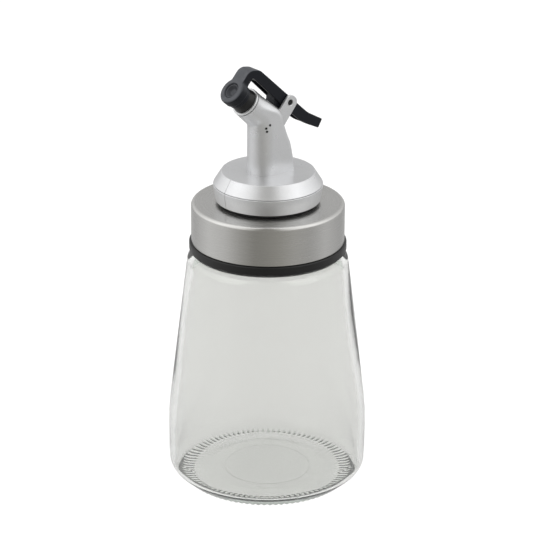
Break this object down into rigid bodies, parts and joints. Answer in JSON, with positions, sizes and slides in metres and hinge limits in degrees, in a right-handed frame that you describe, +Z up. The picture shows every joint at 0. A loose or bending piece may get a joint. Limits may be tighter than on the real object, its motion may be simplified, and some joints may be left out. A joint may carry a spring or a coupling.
{
  "type": "oil dispenser bottle",
  "caption": "Tapered glass oil bottle with a steel-sleeved screw collar and a silver pouring spout closed by a sprung thumb lever.",
  "frame": {"origin": "centre of the face the bottle stands on, on the bottle's axis", "axes": "+Z up along the bottle's axis, the spout pours towards -Y, the lever's pin lies along X"},
  "size_m": [0.0786, 0.0786, 0.1722],
  "materials": {
    "glass": "clear soda-lime glass, faintly green at the edges, stippled foot ring",
    "sleeve_steel": "stainless steel, brushed round its axis, polished edge",
    "collar_plastic": "black polypropylene, satin",
    "spout_silver": "ABS with satin silver paint, a few chips",
    "lever_plastic": "black ABS, satin, dusty on its front face",
    "nozzle_plastic": "black plastic, semi-gloss",
    "nut_plastic": "black nylon, satin",
    "tube_plastic": "natural polyethylene",
    "stopper_rubber": "dark grey rubber, matt",
    "seal_rubber": "black rubber, matt",
    "gasket_rubber": "off-white silicone rubber",
    "pin_steel": "blackened steel",
    "spring_steel": "bright spring wire"
  },
  "bodies": {
    "bottle": {"glass_bottle": "glass"},
    "gasket": {"neck_gasket": "gasket_rubber"},
    "collar": {"screw_collar": "collar_plastic", "steel_sleeve": "sleeve_steel"},
    "spout": {"spout_seal_ring": "seal_rubber", "spout_base": "spout_silver", "retaining_nut": "nut_plastic", "nut_washer": "seal_rubber", "spout_housing": "spout_silver", "nozzle_ring": "spout_silver", "pour_nozzle": "nozzle_plastic", "pour_tube": "tube_plastic", "vent_tube": "tube_plastic", "hinge_pin": "pin_steel", "return_spring": "spring_steel"},
    "lever": {"lever": "lever_plastic", "stopper": "stopper_rubber"}
  },
  "joints": [
    {"name": "collar_lift", "type": "slide", "parent": "bottle", "child": "gasket", "axis": [0, 0, 1], "range_m": [0, 0.0063]},
    {"name": "collar_turn", "type": "hinge", "parent": "gasket", "child": "collar", "pos_m": [0, 0, 0.105], "axis": [0, 0, 1], "range_deg": [0, 540]},
    {"name": "spout_turn", "type": "hinge", "parent": "collar", "child": "spout", "pos_m": [0, 0, 0.117], "axis": [0, 0, 1], "continuous": true},
    {"name": "lever_hinge", "type": "hinge", "parent": "spout", "child": "lever", "pos_m": [0, 0.00713, 0.15627], "axis": [-1, 0, 0], "range_deg": [0, 40], "stiffness_Nm_per_rad": 0.02, "springref_deg": -28.65, "deforming": ["return_spring"]}
  ],
  "couplings": [
    {"joint": "collar_lift", "follows": "collar_turn", "m_per_rad": 0.00066845}
  ]
}
